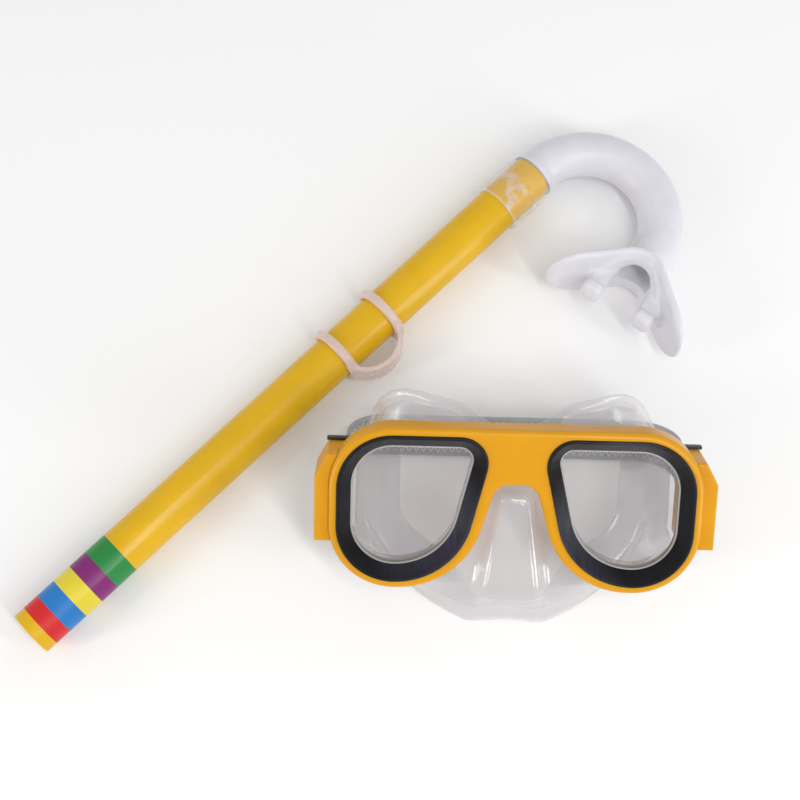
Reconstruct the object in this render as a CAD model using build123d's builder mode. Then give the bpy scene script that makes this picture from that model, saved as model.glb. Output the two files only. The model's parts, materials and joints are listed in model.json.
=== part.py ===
from build123d import *
import os
from math import cos, radians, sin, sqrt

# A child's snorkelling set laid out on a flat surface: a two-lens diving mask with its head strap, and
# beside it a J snorkel that carries the keeper which clips it to that strap.
# Millimetres, +Z up. The origin is on the surface, under the middle of the set.
# The mask is designed in its own directions: u to the right, v up the face, w out of the lenses.

# ---------------------------------------------------------------- layout
MASK_PLACE = (62.2, -68.0, 60.5)     # point on the frame's front, midway between the lenses
MASK_LEAN = 33.0                     # degrees from the lenses facing straight up
TUBE_START = (-133.4, -113.5, 13.0)  # free end of the snorkel tube, on its axis
TUBE_HEADING = 45.8                  # degrees from +X, seen from above

# ---------------------------------------------------------------- mask frame, lenses and bezels
# corner u, corner v, corner radius; each outline is mirrored for the other side
LENS_CORNERS = ((8.4, 30.3, 11.0), (70.3, 30.3, 22.0), (70.3, -30.3, 23.0), (22.7, -30.3, 31.0))
FRAME_CORNERS = ((73.3, 33.3, 25.0), (73.3, -33.3, 26.0), (20.3, -33.3, 34.0), (7.6, 10.7, 7.0))
FRAME_DEPTH = 11.0
FRAME_ROUND = 2.2
FIT_GAP = 0.1                        # between pieces that are pressed together
SIGHT_BACK = -20.0                   # depth that the sight openings are cut to through the skirt
LENS_SEAT = 8.5                      # depth of the step that the gasket rests on
LENS_THICK = 2.4
LENS_INSET = 1.7                     # lens edge, in from the window's edge
GASKET_THICK = 3.4
GASKET_LIP = 6.2                     # gasket's inner edge, in from the window's edge
GASKET_BED = 0.55                    # gasket rubber behind the lens
SEAT_INSET = 5.2                     # inner edge of the frame's step
BEZEL_PROUD = 1.0
BEZEL_RIM = 1.3                      # width of the bezel's flat front lip
BEZEL_FOOT = 5.6                     # bezel's inner edge at the lens, in from the window's edge
BEZEL_ROUND = 0.6
LENS_CHAMFER = 0.3

# ---------------------------------------------------------------- skirt
SKIRT_WALL = 2.2
SKIRT_LIP = 1.8                      # thickness of the sealing lip
# each outline runs from the notch over the nose, round the temple and down to the upper lip
SKIRT_FRONT = ((7.0, 28.0, 9.0), (24.0, 31.0, 14.0), (64.5, 31.0, 20.0), (64.5, -27.0, 24.0),
               (34.0, -33.5, 12.0), (12.0, -35.5, 5.0))
SKIRT_REAR = ((7.0, 20.0, 9.0), (22.0, 45.0, 14.0), (58.0, 45.0, 27.0), (61.0, -25.0, 28.0),
              (35.0, -66.0, 20.0), (20.0, -93.0, 16.0))
SKIRT_DEPTH = 60.0
FACE_HOLE = ((6.0, 12.0, 6.0), (17.0, 26.0, 9.0), (46.0, 26.0, 10.0), (46.0, -19.0, 14.0),
             (26.0, -30.0, 10.0), (14.0, -49.0, 8.0))
HEAD_RADIUS = 80.0                   # roundness of the face that the skirt is cut to
HEAD_GAP = 27.0                      # from the frame's front to the forehead
HEAD_LEAN = 3.0                      # degrees that the face falls back towards the chin
NOSE_BASE = ((11.0, 9.5, 5.0), (21.0, -47.0, 9.0))
NOSE_TIP = ((6.2, 6.0, 3.0), (11.5, -38.0, 5.0))
NOSE_FRONT = -2.5                    # height of the nose pocket's front
NOSE_ROOT = -19.0                    # where the nose pocket joins the skirt

# ---------------------------------------------------------------- buckles and strap
HOUSING_CORNERS = ((66.0, -15.0), (79.0, -15.0), (79.0, 12.0), (74.0, 21.0), (66.0, 21.0))
HOUSING_FRONT = -3.0
HOUSING_BACK = -25.0
HOUSING_ROUND = 0.8
POCKET_CORNERS = ((67.5, -13.5), (77.4, -13.5), (77.4, 11.5), (72.9, 19.6), (67.5, 19.6))
POCKET_FRONT = -12.0
SLOT_U = (67.5, 72.0)                # slot in the housing's top, for the bracket's riser
SLOT_V = (19.0, 21.5)
SLOT_FRONT = -21.3
BUCKLE_U = (67.7, 74.2)              # inner and outer side of the buckle bracket
BUCKLE_FRONT = -12.1
BUCKLE_BACK = -24.5
BUCKLE_WEB = 1.4
BUCKLE_PLATES = ((-12.8, -10.4), (14.6, 17.0))   # v of the lower and upper plate
BUCKLE_CAP = (21.05, 22.2)           # v of the cap that hooks over the housing's top
BUCKLE_CAP_U = (66.2, 75.0)
BUCKLE_RISER_U = (67.7, 71.8)        # the narrow part of the bracket that holds the cap
BUCKLE_CAP_FRONT = -21.5
BUCKLE_RISER_W = (-24.4, -21.6)
ROLLER_U = 72.0
ROLLER_W = -20.2
ROLLER_RADIUS = 2.4
ROLLER_BORE = 1.05
ROLLER_LENGTH = 22.4
ROLLER_GROOVES = 10
GROOVE_RADIUS = 0.4
GROOVE_OUT = 0.15                    # groove's middle, out from the roller's surface
PIN_RADIUS = 1.0
PIN_ENDS = (-14.2, 15.0)             # pin's ends, from the middle of the strap
STRAP_WIDTH = 19.0
STRAP_THICK = 1.6
STRAP_RISE = 8.4                     # degrees that the strap climbs towards the back of the head
STRAP_V = 1.75                       # middle of the strap at the buckles
STRAP_BACK = 69.6                    # from the frame's front to the strap's rear run
STRAP_CORNERS = {-1: (67.0, 16.0), 1: (73.5, 18.0)}   # u and radius of each rear corner
SPAN_LENGTH = 22.0
TAIL_LENGTH = 24.0
TAIL_ROUND = 5.0
LOOP_GAP = 0.3

# ---------------------------------------------------------------- snorkel
TUBE_RADIUS = 10.0
TUBE_BORE = 8.4
TUBE_LENGTH = 296.4
TUBE_ROUND = 0.4
BANDS = (("red", 5.2, 12.4), ("blue", 12.4, 21.2), ("lemon", 21.2, 29.8), ("purple", 29.8, 38.4),
         ("green", 38.4, 48.7))
BAND_DEPTH = 0.2
SLEEVE_LENGTH = 23.5
SLEEVE_RADIUS = 11.6
RUN_GAP = 0.05                       # running clearance of a turning or sliding fit
SHOULDER = 4.5                       # from the end of the tube back to where the sleeve narrows
BEND_RADIUS = 32.5
BEND_START = 2.0                     # straight length past the end of the tube
BEND_TURN = 172.8
MOUTH_BORE = 7.5
SHIELD_APEX = 1.5                    # from the end of the bend to where the shield's two arms would meet
SHIELD_BEND = 11.0                   # radius that joins the arms, which stand square to each other
SHIELD_REACH = 34.0                  # from the end of the bend to the arms' tips
SHIELD_THICK = 3.0
SHIELD_HEIGHT = 28.0
SHIELD_ROUND = 13.0
MOUTH_PITCH = 16.0                   # degrees that the shield leans back from upright
MOUTH_YAW = 5.0                      # degrees that it turns on past the end of the bend
NECK_LENGTH = 14.0
NECK_MOUTH = (18.0, 26.0)            # height and width of the neck where it meets the shield
NECK_ROUND = 8.5
AIR_MOUTH = (10.0, 17.0)             # height and width of the air way's mouth
AIR_ROUND = 4.5
TAB_INNER, TAB_OUTER = 8.5, 17.0     # sideways extent of each bite tab
TAB_TIP = 32.0                       # from the end of the bend to a tab's end
# length, height and corner radius of a tab's plate and of the ridge at its end
TAB_SHAPES = ((21.5, 5.0, 3.0), (5.0, 10.0, 2.2))
KEEPER_RINGS = (174.0, 201.0)        # middles of the keeper's rings, from the tube's free end
KEEPER_RADIUS = 13.0
KEEPER_WIDTH = 4.0
KEEPER_REACH = 20.5                  # from the tube's axis to the outside of the strap loop
KEEPER_WALL = 2.4
KEEPER_HEIGHT = 13.0

lean = radians(MASK_LEAN)
mask = Plane(origin=MASK_PLACE, x_dir=(1, 0, 0), z_dir=(0, -sin(lean), cos(lean)))


def along(direction):
    """A direction in the mask's own u, v and w, as a direction of the whole set."""
    return mask.from_local_coords(direction) - mask.origin


def mask_plane(place, x_dir, z_dir):
    """A plane at a place in the mask, with its directions given in u, v and w."""
    return Plane(origin=mask.from_local_coords(place), x_dir=along(x_dir), z_dir=along(z_dir))


def rounded(plane, corners, side=1, inset=0.0):
    """A face with rounded corners: corners of u, v and radius, on one side of the mask."""
    with BuildSketch(plane) as shape:
        with BuildLine():
            points = [(side * u, v) for u, v, _ in corners]
            FilletPolyline(*points, radius=[r for _, _, r in corners], close=True)
        make_face()
        if inset:
            offset(amount=-inset)
    return shape.sketch


def both_sides(corners):
    """The corners of a shape that is the same on both sides, from those of its right half."""
    return tuple(corners) + tuple((-u, v, r) for u, v, r in reversed(corners))


def saved(piece, label):
    """Name a finished piece and write it."""
    piece.part.label = label
    export_step(piece.part, f"parts/{label}.step")


os.makedirs("parts", exist_ok=True)

# ================================================================ the mask's rigid pieces
with BuildPart() as front_frame:
    extrude(rounded(mask.offset(-FRAME_DEPTH), both_sides(FRAME_CORNERS)), amount=FRAME_DEPTH)
    front_face = front_frame.faces().filter_by(mask).sort_by(Axis(mask.origin, mask.z_dir))[-1]
    fillet(front_face.edges(), radius=FRAME_ROUND)
    for side in (-1, 1):
        window = rounded(mask.offset(-LENS_SEAT), LENS_CORNERS, side)
        extrude(window, amount=LENS_SEAT + BEZEL_PROUD, mode=Mode.SUBTRACT)
        sight = rounded(mask.offset(-FRAME_DEPTH), LENS_CORNERS, side, SEAT_INSET)
        extrude(sight, amount=FRAME_DEPTH, mode=Mode.SUBTRACT)
saved(front_frame, "front_frame")

for side, word in ((-1, "left"), (1, "right")):
    lens_back = GASKET_BED - LENS_SEAT
    lens_front = lens_back + LENS_THICK
    with BuildPart() as lens:
        extrude(rounded(mask.offset(lens_back), LENS_CORNERS, side, LENS_INSET), amount=LENS_THICK)
        chamfer(lens.edges().filter_by(mask), length=LENS_CHAMFER)
    saved(lens, f"{word}_lens")

    with BuildPart() as gasket:
        extrude(rounded(mask.offset(-LENS_SEAT), LENS_CORNERS, side, FIT_GAP), amount=GASKET_THICK)
        channel = rounded(mask.offset(lens_back), LENS_CORNERS, side, LENS_INSET)
        extrude(channel, amount=LENS_THICK, mode=Mode.SUBTRACT)
        sight = rounded(mask.offset(-LENS_SEAT), LENS_CORNERS, side, GASKET_LIP)
        extrude(sight, amount=GASKET_THICK, mode=Mode.SUBTRACT)
    saved(gasket, f"{word}_lens_gasket")

    bezel_back = GASKET_THICK - LENS_SEAT
    with BuildPart() as bezel:
        ring = rounded(mask.offset(bezel_back), LENS_CORNERS, side, FIT_GAP)
        extrude(ring, amount=BEZEL_PROUD - bezel_back)
        lip = bezel.faces().filter_by(mask).sort_by(Axis(mask.origin, mask.z_dir))[-1]
        fillet(lip.edges(), radius=BEZEL_ROUND)
        foot = rounded(mask.offset(bezel_back), LENS_CORNERS, side, BEZEL_FOOT)
        mouth = rounded(mask.offset(BEZEL_PROUD), LENS_CORNERS, side, BEZEL_RIM)
        loft([foot, mouth], mode=Mode.SUBTRACT)
    saved(bezel, f"{word}_bezel")

# ================================================================ the skirt
head = mask_plane((0, 0, -HEAD_GAP), (1, 0, 0), (0, cos(radians(HEAD_LEAN)), sin(radians(HEAD_LEAN))))


def skirt_body(inset, front, back):
    """The skirt's tapering body, or its hollow when inset by the wall."""
    with BuildPart() as body:
        loft([rounded(mask.offset(front), both_sides(SKIRT_FRONT), 1, inset),
              rounded(mask.offset(back), both_sides(SKIRT_REAR), 1, inset)])
    return body.part


def nose_body(inset, front, back):
    """The pocket for the nose, or its hollow when inset by the wall."""
    with BuildPart() as body:
        loft([rounded(mask.offset(back), both_sides(NOSE_BASE), 1, inset),
              rounded(mask.offset(front), both_sides(NOSE_TIP), 1, inset)])
    return body.part


def face_form(gap):
    """The rounded face that the skirt seals against, grown by a gap."""
    with BuildPart() as form:
        with BuildSketch(Plane(origin=head.from_local_coords((0, HEAD_RADIUS, -150)),
                               x_dir=head.x_dir, z_dir=head.z_dir)):
            Circle(HEAD_RADIUS + gap)
        extrude(amount=300)
    return form.part


with BuildPart() as skirt_hollow:
    add(skirt_body(SKIRT_WALL, -FRAME_DEPTH - SKIRT_WALL, -SKIRT_DEPTH))
    add(nose_body(SKIRT_WALL, NOSE_FRONT - SKIRT_WALL, NOSE_ROOT - 8))
    add(face_form(SKIRT_LIP), mode=Mode.SUBTRACT)

with BuildPart() as face_opening:
    face_hole = rounded(mask.offset(-SKIRT_DEPTH - 10), both_sides(FACE_HOLE))
    extrude(face_hole, amount=SKIRT_DEPTH)
    add(face_form(SKIRT_LIP + 1), mode=Mode.INTERSECT)

with BuildPart() as skirt:
    add(skirt_body(0, -FRAME_DEPTH, -SKIRT_DEPTH))
    add(nose_body(0, NOSE_FRONT, NOSE_ROOT))
    add(skirt_hollow.part, mode=Mode.SUBTRACT)
    add(face_form(0), mode=Mode.SUBTRACT)
    add(face_opening.part, mode=Mode.SUBTRACT)
    for side in (-1, 1):
        sight = rounded(mask.offset(SIGHT_BACK), LENS_CORNERS, side, GASKET_LIP)
        extrude(sight, amount=-SIGHT_BACK, mode=Mode.SUBTRACT)
saved(skirt, "skirt")

# ================================================================ buckles
strap_lie = mask_plane((0, STRAP_V, ROLLER_W), (1, 0, 0),
                       (0, cos(radians(STRAP_RISE)), sin(radians(STRAP_RISE))))


def upright(corners, side, plane):
    """A face with sharp corners, on one side of the mask."""
    with BuildSketch(plane) as shape:
        with BuildLine():
            Polyline([(side * u, v) for u, v in corners], close=True)
        make_face()
    return shape.sketch


def block(side, u_range, v_range, w_range):
    """A face that spans u and v at the back of a block, and the block's depth."""
    (u0, u1), (v0, v1), (w0, w1) = u_range, v_range, w_range
    corners = ((u0, v0), (u1, v0), (u1, v1), (u0, v1))
    return {"to_extrude": upright(corners, side, mask.offset(w0)), "amount": w1 - w0}


def roller_round(side, radius, ends):
    """A round bar on the roller's axis, between two distances from the strap's middle."""
    with BuildPart() as bar:
        with BuildSketch(strap_lie.offset(ends[0])):
            with Locations((side * ROLLER_U, 0)):
                Circle(radius)
        extrude(amount=ends[1] - ends[0])
    return bar.part


for side, word in ((-1, "left"), (1, "right")):
    with BuildPart() as housing:
        extrude(upright(HOUSING_CORNERS, side, mask.offset(HOUSING_BACK)),
                amount=HOUSING_FRONT - HOUSING_BACK)
        outer_edges = housing.edges().filter_by(Axis(mask.origin, mask.z_dir))
        front_face = housing.faces().filter_by(mask).sort_by(Axis(mask.origin, mask.z_dir))[-1]
        fillet(outer_edges + front_face.edges(), radius=HOUSING_ROUND)
        beside = rounded(mask.offset(-FRAME_DEPTH - FIT_GAP), both_sides(FRAME_CORNERS), 1, -FIT_GAP)
        extrude(beside, amount=FRAME_DEPTH + 1, mode=Mode.SUBTRACT)
        extrude(upright(POCKET_CORNERS, side, mask.offset(HOUSING_BACK)),
                amount=POCKET_FRONT - HOUSING_BACK, mode=Mode.SUBTRACT)
        extrude(**block(side, SLOT_U, SLOT_V, (HOUSING_BACK, SLOT_FRONT)), mode=Mode.SUBTRACT)
    saved(housing, f"{word}_buckle_housing")

    with BuildPart() as buckle:
        lower, upper = BUCKLE_PLATES
        for plate in BUCKLE_PLATES:
            extrude(**block(side, BUCKLE_U, plate, (BUCKLE_BACK, BUCKLE_FRONT)))
        web = (BUCKLE_FRONT - BUCKLE_WEB, BUCKLE_FRONT)
        extrude(**block(side, BUCKLE_U, (lower[0], upper[1]), web))
        extrude(**block(side, BUCKLE_RISER_U, (upper[0], BUCKLE_CAP[1]), BUCKLE_RISER_W))
        extrude(**block(side, BUCKLE_CAP_U, BUCKLE_CAP, (BUCKLE_BACK, BUCKLE_CAP_FRONT)))
        add(roller_round(side, PIN_RADIUS, PIN_ENDS), mode=Mode.SUBTRACT)
    saved(buckle, f"{word}_buckle")

    with BuildPart() as pin:
        add(roller_round(side, PIN_RADIUS, PIN_ENDS))
    saved(pin, f"{word}_roller_pin")

    with BuildPart() as roller:
        add(roller_round(side, ROLLER_RADIUS, (-ROLLER_LENGTH / 2, ROLLER_LENGTH / 2)))
        with BuildSketch(strap_lie.offset(-ROLLER_LENGTH / 2)):
            with Locations((side * ROLLER_U, 0)):
                with PolarLocations(ROLLER_RADIUS + GROOVE_OUT, ROLLER_GROOVES):
                    Circle(GROOVE_RADIUS)
        extrude(amount=ROLLER_LENGTH, mode=Mode.SUBTRACT)
        add(roller_round(side, ROLLER_BORE, (-ROLLER_LENGTH, ROLLER_LENGTH)), mode=Mode.SUBTRACT)
    saved(roller, f"{word}_strap_roller")

# ================================================================ head strap
run_back = (STRAP_BACK + ROLLER_W) / cos(radians(STRAP_RISE))
loop_inside = ROLLER_RADIUS + LOOP_GAP
loop_outside = loop_inside + STRAP_THICK
span_start = ROLLER_U - loop_inside - STRAP_THICK / 2
tail_u = ROLLER_U + loop_inside + STRAP_THICK / 2


def span_u(side):
    """Where a strap span meets the rear band, on its way to the rear corner."""
    return span_start + (STRAP_CORNERS[side][0] - span_start) * SPAN_LENGTH / run_back


with BuildPart() as strap_rear_band:
    with BuildSketch(strap_lie):
        with BuildLine():
            FilletPolyline((-span_u(-1), SPAN_LENGTH), (-STRAP_CORNERS[-1][0], run_back),
                           (STRAP_CORNERS[1][0], run_back), (span_u(1), SPAN_LENGTH),
                           radius=[STRAP_CORNERS[-1][1], STRAP_CORNERS[1][1]])
        trace(line_width=STRAP_THICK)
    extrude(amount=STRAP_WIDTH / 2, both=True)
saved(strap_rear_band, "strap_rear_band")

for side, word in ((-1, "left"), (1, "right")):
    with BuildPart() as span:
        with BuildSketch(strap_lie):
            with BuildLine():
                Line((side * span_start, 0), (side * span_u(side), SPAN_LENGTH))
            trace(line_width=STRAP_THICK)
            with Locations((side * ROLLER_U, 0)):
                Circle(loop_outside)
                Circle(loop_inside, mode=Mode.SUBTRACT)
            with Locations((side * tail_u, loop_outside)):
                Rectangle(2 * STRAP_THICK, 2 * loop_outside, mode=Mode.SUBTRACT)
        extrude(amount=STRAP_WIDTH / 2, both=True)
    saved(span, f"{word}_strap_span")

    with BuildPart() as tail:
        with BuildSketch(strap_lie):
            with Locations((side * tail_u, LOOP_GAP + TAIL_LENGTH / 2)):
                Rectangle(STRAP_THICK, TAIL_LENGTH)
        extrude(amount=STRAP_WIDTH / 2, both=True)
        fillet(tail.edges().filter_by(Axis(mask.origin, along((1, 0, 0)))).group_by(
            Axis(strap_lie.origin, strap_lie.y_dir))[-1], radius=TAIL_ROUND)
    saved(tail, f"{word}_strap_tail")

# ================================================================ snorkel
flat = Plane(origin=TUBE_START, x_dir=(cos(radians(TUBE_HEADING)), sin(radians(TUBE_HEADING)), 0),
             z_dir=(0, 0, 1))
tube = Plane(origin=TUBE_START, x_dir=(0, 0, 1), z_dir=flat.x_dir)


def tube_ring(start, end, outer, inner):
    """A ring round the snorkel tube's axis, between two distances from its free end."""
    with BuildPart() as ring:
        with BuildSketch(tube.offset(start)):
            Circle(outer)
            if inner:
                Circle(inner, mode=Mode.SUBTRACT)
        extrude(amount=end - start)
    return ring.part


with BuildPart() as snorkel_tube:
    add(tube_ring(0, TUBE_LENGTH, TUBE_RADIUS, TUBE_BORE))
    fillet(snorkel_tube.edges(), radius=TUBE_ROUND)
    add(tube_ring(BANDS[0][1], BANDS[-1][2], TUBE_RADIUS + 1, TUBE_RADIUS - BAND_DEPTH),
        mode=Mode.SUBTRACT)
saved(snorkel_tube, "snorkel_tube")

for colour, start, end in BANDS:
    with BuildPart() as band:
        add(tube_ring(start, end, TUBE_RADIUS, TUBE_RADIUS - BAND_DEPTH))
    saved(band, f"band_{colour}")

bend_start = TUBE_LENGTH + BEND_START
turn = radians(BEND_TURN)
bend_end = flat.from_local_coords((bend_start + BEND_RADIUS * sin(turn),
                                   -BEND_RADIUS * (1 - cos(turn)), 0))
mouth_heading = radians(TUBE_HEADING - BEND_TURN)
bend_way = Plane(origin=bend_end, x_dir=(0, 0, 1), z_dir=(cos(mouth_heading), sin(mouth_heading), 0))
pitch = radians(MOUTH_PITCH)
facing = radians(TUBE_HEADING - BEND_TURN + MOUTH_YAW)
mouth = Plane(origin=bend_end, x_dir=(cos(facing) * cos(pitch), sin(facing) * cos(pitch), sin(pitch)),
              z_dir=(-cos(facing) * sin(pitch), -sin(facing) * sin(pitch), cos(pitch)))
mouth_way = Plane(origin=bend_end, x_dir=mouth.z_dir, z_dir=mouth.x_dir)
tube_side = Plane(origin=TUBE_START, x_dir=tube.z_dir, z_dir=(tube.z_dir.Y, -tube.z_dir.X, 0))


def shield_room(gap):
    """The room between the shield's two arms, grown by a gap from the arms' middle line."""
    apex = SHIELD_APEX - gap * sqrt(2)
    width = SHIELD_REACH - apex
    with BuildSketch(mouth) as room:
        with BuildLine():
            arms = FilletPolyline((SHIELD_REACH, -width), (apex, 0), (SHIELD_REACH, width),
                                  radius=SHIELD_BEND + gap)
            Line(arms @ 1, arms @ 0)
        make_face()
    return room.sketch


def bite_tab(side):
    """A bite tab with a ridge at its end, as far back as the shield's outside."""
    with BuildPart() as tab:
        for length, height, rounding in TAB_SHAPES:
            with BuildSketch(mouth):
                with Locations((TAB_TIP - length / 2, side * (TAB_INNER + TAB_OUTER) / 2)):
                    RectangleRounded(length, TAB_OUTER - TAB_INNER, rounding)
            extrude(amount=height / 2, both=True)
        extrude(shield_room(SHIELD_THICK / 2), amount=SHIELD_HEIGHT, both=True, mode=Mode.INTERSECT)
    return tab.part


with BuildPart() as elbow_mouthpiece:
    # shield with two arms that lies between the lips and the teeth
    extrude(shield_room(SHIELD_THICK / 2), amount=SHIELD_HEIGHT / 2, both=True)
    side_view = Plane(origin=mouth.origin, x_dir=mouth.x_dir, z_dir=-mouth.y_dir)
    with BuildSketch(side_view):
        RectangleRounded(2 * SHIELD_REACH, SHIELD_HEIGHT, SHIELD_ROUND)
    extrude(amount=2 * SHIELD_REACH, both=True, mode=Mode.INTERSECT)
    # neck that widens from the bend into the shield
    with BuildSketch(bend_way):
        Circle(TUBE_RADIUS)
    with BuildSketch(mouth_way.offset(NECK_LENGTH)):
        RectangleRounded(*NECK_MOUTH, NECK_ROUND)
    loft()
    extrude(shield_room(-SHIELD_THICK / 2), amount=SHIELD_HEIGHT, both=True, mode=Mode.SUBTRACT)
    for side in (-1, 1):
        add(bite_tab(side))
    # air way from the bend to the mouth
    with BuildSketch(bend_way):
        Circle(MOUTH_BORE)
    with BuildSketch(mouth_way.offset(NECK_LENGTH + 1)):
        RectangleRounded(*AIR_MOUTH, AIR_ROUND)
    loft(mode=Mode.SUBTRACT)
    # hollow bend
    with BuildLine(flat):
        JernArc((bend_start, 0), (1, 0), BEND_RADIUS, -BEND_TURN)
    with BuildSketch(tube.offset(bend_start)):
        Circle(TUBE_RADIUS)
        Circle(MOUTH_BORE, mode=Mode.SUBTRACT)
    sweep()
    # sleeve that grips the tube, and its shoulder
    with BuildSketch(tube_side):
        with BuildLine():
            Polyline((TUBE_LENGTH - SLEEVE_LENGTH, TUBE_RADIUS + RUN_GAP),
                     (TUBE_LENGTH - SLEEVE_LENGTH, SLEEVE_RADIUS),
                     (TUBE_LENGTH - SHOULDER, SLEEVE_RADIUS), (bend_start, TUBE_RADIUS),
                     (bend_start, MOUTH_BORE), (TUBE_LENGTH + RUN_GAP, MOUTH_BORE),
                     (TUBE_LENGTH + RUN_GAP, TUBE_RADIUS + RUN_GAP), close=True)
        make_face()
    revolve(axis=Axis(tube.origin, tube.z_dir))
saved(elbow_mouthpiece, "elbow_mouthpiece")

with BuildPart() as snorkel_keeper:
    for middle in KEEPER_RINGS:
        add(tube_ring(middle - KEEPER_WIDTH / 2, middle + KEEPER_WIDTH / 2, KEEPER_RADIUS, 0))
    first, last = KEEPER_RINGS
    middle = (first + last) / 2
    with BuildSketch(flat):
        for wall, mode in ((0, Mode.ADD), (KEEPER_WALL, Mode.SUBTRACT)):
            with BuildLine():
                outside = ThreePointArc((first - KEEPER_WIDTH / 2 + wall, -TUBE_RADIUS + 2),
                                        (middle, -KEEPER_REACH + wall),
                                        (last + KEEPER_WIDTH / 2 - wall, -TUBE_RADIUS + 2))
                Line(outside @ 1, outside @ 0)
            make_face(mode=mode)
    extrude(amount=KEEPER_HEIGHT / 2, both=True)
    add(tube_ring(first - KEEPER_WIDTH, last + KEEPER_WIDTH, TUBE_RADIUS + RUN_GAP, 0),
        mode=Mode.SUBTRACT)
saved(snorkel_keeper, "snorkel_keeper")
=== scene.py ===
import json
from math import cos, pi, radians, sin, sqrt

import bpy
import numpy as np
from mathutils import Matrix, Vector


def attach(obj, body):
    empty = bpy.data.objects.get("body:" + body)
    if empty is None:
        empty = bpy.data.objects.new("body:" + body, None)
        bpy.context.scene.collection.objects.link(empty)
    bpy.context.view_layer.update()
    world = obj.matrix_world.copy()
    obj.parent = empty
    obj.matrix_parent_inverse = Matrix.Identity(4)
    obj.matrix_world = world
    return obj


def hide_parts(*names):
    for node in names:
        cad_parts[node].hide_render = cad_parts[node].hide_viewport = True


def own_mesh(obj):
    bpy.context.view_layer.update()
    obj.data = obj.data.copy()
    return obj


bl_info = {
    "name": "Snorkelling Set",
    "version": (1, 0, 0),
    "blender": (4, 5, 0),
    "location": "3D View > Sidebar > Snorkelling Set",
    "description": "Builds the looks of a child's diving mask and snorkel round its packed model",
    "category": "Object",
}

# Lengths are in millimetres in the pieces' own directions, and become metres where a mesh is made.
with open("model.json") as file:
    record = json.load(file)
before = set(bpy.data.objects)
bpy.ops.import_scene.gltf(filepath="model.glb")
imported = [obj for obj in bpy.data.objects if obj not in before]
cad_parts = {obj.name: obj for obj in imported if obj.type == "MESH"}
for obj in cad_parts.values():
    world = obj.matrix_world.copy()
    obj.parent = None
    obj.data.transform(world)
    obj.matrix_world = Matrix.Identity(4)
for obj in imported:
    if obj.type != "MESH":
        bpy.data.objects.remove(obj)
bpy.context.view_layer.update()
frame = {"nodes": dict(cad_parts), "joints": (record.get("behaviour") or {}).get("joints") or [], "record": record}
MM = 0.001
MOUNTS = {mount["name"]: mount for mount in frame["record"]["mounts"]}
JOINTS = {joint["name"]: joint for joint in frame["joints"]}
COLOURS = {material["slot"]: material["base_color"] for material in frame["record"]["materials"]}
SIDES = (("left", -1), ("right", 1))
BANDS = ("red", "blue", "lemon", "purple", "green")


class Directions:
    """Own directions of a group of pieces: a place in the row frame, and three axes at right angles."""

    def __init__(self, origin, x, z):
        self.origin = np.array(origin, float)
        x = np.array(x, float)
        z = np.array(z, float)
        self.axes = np.array([x, np.cross(z, x), z])

    def to_row(self, points):
        """Points in these directions, in millimetres, as points in the row frame, in metres."""
        return (np.asarray(points, float) @ self.axes + self.origin) * MM

    def way(self, direction):
        """A direction of these, as a direction of the row frame."""
        return np.asarray(direction, float) @ self.axes

    def from_row(self, point):
        """A point of the row frame, in metres, in these directions."""
        return self.axes @ (np.array(point, float) / MM - self.origin)


def mount_place(name):
    """A mount's place, in millimetres."""
    return np.array(MOUNTS[name]["pos_m"]) / MM


# The mask's u runs to the right, v up the face and w out of the lenses, from the frame's front.
SEAL_DEPTH = 30.0
OUT = -np.array(MOUNTS["face_seal"]["axis"])
MASK = Directions(mount_place("face_seal") + SEAL_DEPTH * OUT, (1, 0, 0), OUT)

# The strap runs from the rollers along its own y, and its width along its z.
ROLLERS = [np.array(JOINTS[f"{word}_roller_turn"]["pos_m"]) / MM for word, _ in SIDES]
STRAP = Directions(sum(ROLLERS) / 2, (1, 0, 0), JOINTS["left_roller_turn"]["axis"])
ROLLER_U = (ROLLERS[1] - ROLLERS[0])[0] / 2

# The snorkel's x runs along its tube from the free end, and its y to the side away from the bend.
TUBE_LENGTH = 296.4
ALONG = -np.array(MOUNTS["tube_bore"]["axis"])
SNORKEL = Directions(mount_place("tube_bore") - ALONG * TUBE_LENGTH / 2, ALONG, (0, 0, 1))


# ---------------------------------------------------------------- settings
def length(name, description, default, low, high):
    """A length in millimetres that a user may change."""
    return bpy.props.FloatProperty(name=name, description=f"{description}, in millimetres", default=default,
                                   min=low, max=high)


def share(name, description, default):
    """A share from 0 to 1 that a user may change."""
    return bpy.props.FloatProperty(name=name, description=description, default=default,
                                   min=0.0, max=1.0, subtype="FACTOR")


def colour(name, description, default):
    """A colour that a user may change."""
    return bpy.props.FloatVectorProperty(name=name, description=description, default=default[:3],
                                         size=3, min=0.0, max=1.0, subtype="COLOR")


class SnorkelMaskSettings(bpy.types.PropertyGroup):
    """Sizes and finishes of the mask."""

    frame_colour: colour("Frame", "Colour of the front frame and the housings", COLOURS["frame_yellow"])
    bezel_colour: colour("Bezel", "Colour of the rings that hold the lenses", COLOURS["bezel_black"])
    skirt_colour: colour("Skirt", "Tint of the clear skirt", COLOURS["skirt_clear"])
    skirt_clearness: share("Skirt clearness", "How clear the skirt is where it is seen face on", 0.86)
    skirt_step: length("Skirt fineness", "Spacing of the skirt's surface points", 0.75, 0.5, 2.0)
    lens_clearness: share("Lens clearness", "How clear a lens is", 0.88)


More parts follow.
